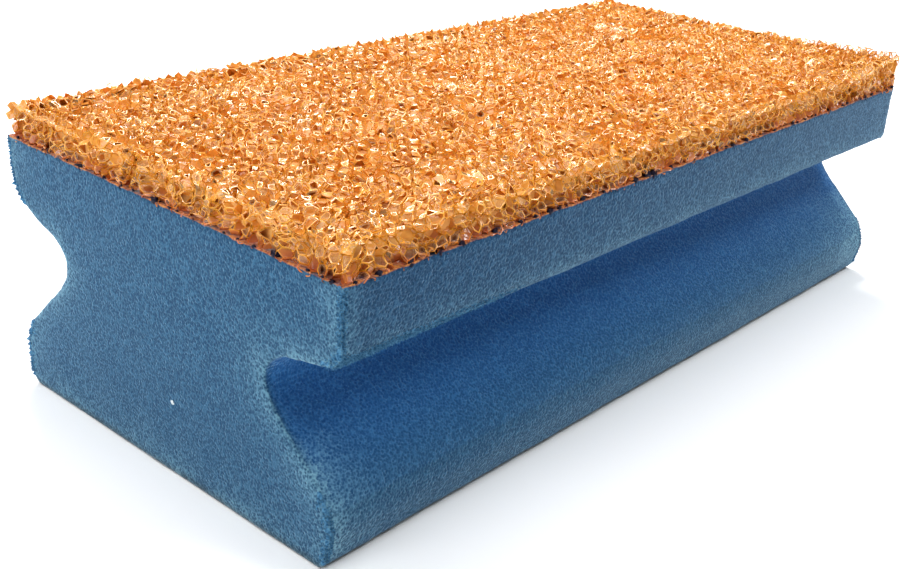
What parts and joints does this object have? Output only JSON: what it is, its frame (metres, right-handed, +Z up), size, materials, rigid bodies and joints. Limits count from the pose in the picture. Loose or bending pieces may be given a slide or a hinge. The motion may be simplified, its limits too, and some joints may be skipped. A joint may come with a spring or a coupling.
{
  "type": "cleaning sponge",
  "caption": "Block-shaped cleaning sponge: a soft blue foam body with a finger groove along each long side, and a coarse orange scouring layer bonded on top.",
  "frame": {"origin": "middle of the base, on the surface that the sponge lies on", "axes": "+X along the length, +Y across the width, +Z up through the scouring layer"},
  "size_m": [0.15, 0.07, 0.0445],
  "materials": {
    "blue_foam": "fine open-cell foam, matt, slightly fuzzy where cut",
    "scouring_foam": "coarse open-cell foam of glossy struts"
  },
  "bodies": {
    "root": {"foam_body": "blue_foam", "scouring_layer": "scouring_foam"}
  },
  "joints": []
}
